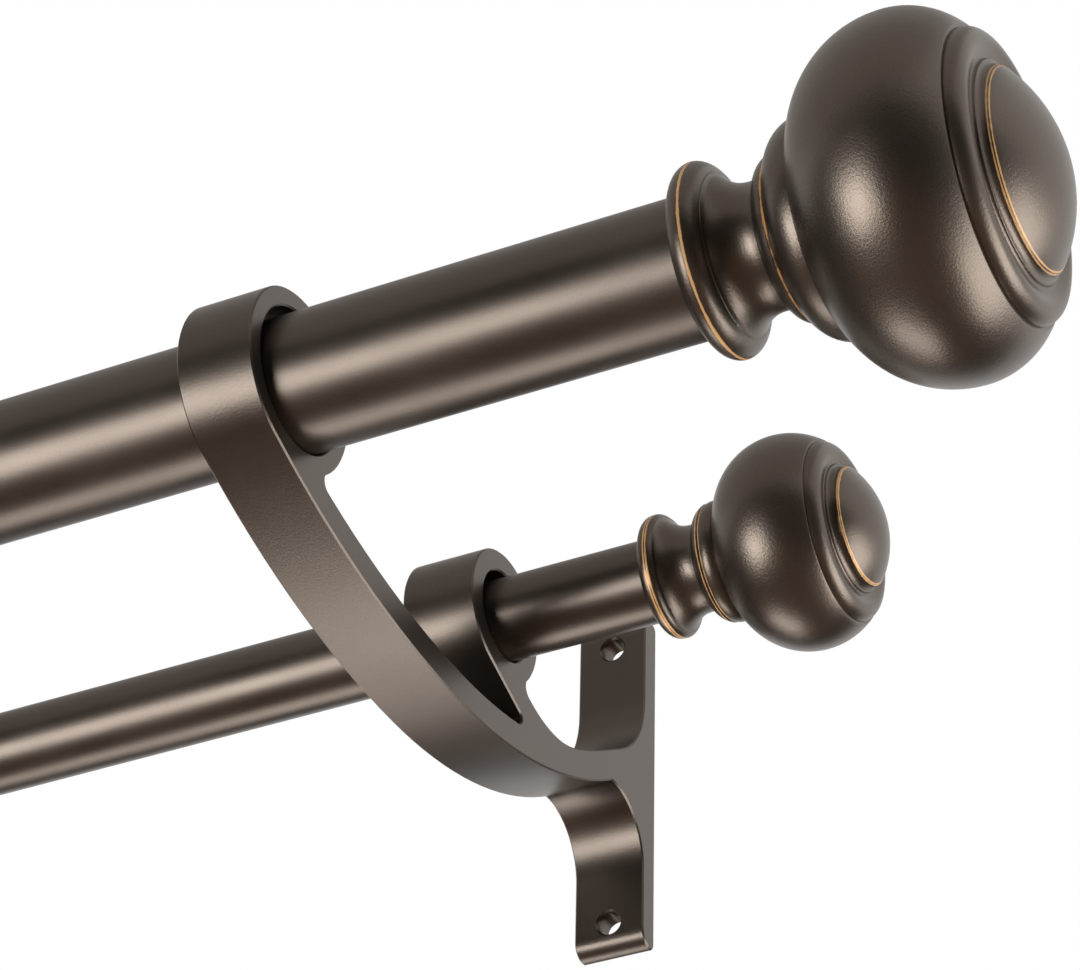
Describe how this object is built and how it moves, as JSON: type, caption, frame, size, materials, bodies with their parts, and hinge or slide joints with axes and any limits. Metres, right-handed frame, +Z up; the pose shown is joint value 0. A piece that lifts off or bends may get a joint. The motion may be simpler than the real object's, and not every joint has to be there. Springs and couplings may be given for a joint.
{
  "type": "double curtain pole",
  "caption": "Telescopic front and back curtain poles with turned ball finials, carried in the closed rings of extruded wall brackets with curved arms and drilled plates.",
  "frame": {"origin": "middle of the four wall screw holes, on the wall plane", "axes": "+X along the poles, towards the ends where the outer tubes carry their finials; +Y into the wall; +Z up"},
  "size_m": [0.8378, 0.1767, 0.076],
  "materials": {
    "pole": "satin dark bronze",
    "bracket": "satin dark bronze paint",
    "finial": "satin dark bronze paint on cast resin, gold rubbed through on the ridges",
    "stud": "zinc plated",
    "plug": "black nylon",
    "ring_screw": "blackened"
  },
  "bodies": {
    "wall_set": {"right_bracket": "bracket", "right_front_finial": "finial", "right_front_stud": "stud", "right_front_plug": "plug", "right_front_ring_screw": "ring_screw", "right_back_finial": "finial", "right_back_stud": "stud", "right_back_plug": "plug", "right_back_ring_screw": "ring_screw", "left_bracket": "bracket", "left_front_ring_screw": "ring_screw", "left_back_ring_screw": "ring_screw", "front_outer_tube": "pole", "back_outer_tube": "pole"},
    "front_extension": {"front_inner_tube": "pole", "left_front_plug": "plug", "left_front_stud": "stud", "left_front_finial": "finial"},
    "back_extension": {"back_inner_tube": "pole", "left_back_plug": "plug", "left_back_stud": "stud", "left_back_finial": "finial"}
  },
  "joints": [
    {"name": "front_pole_slide", "type": "slide", "parent": "wall_set", "child": "front_extension", "axis": [-1, 0, 0], "range_m": [0, 0.508]},
    {"name": "back_pole_slide", "type": "slide", "parent": "wall_set", "child": "back_extension", "axis": [-1, 0, 0], "range_m": [0, 0.508]}
  ]
}
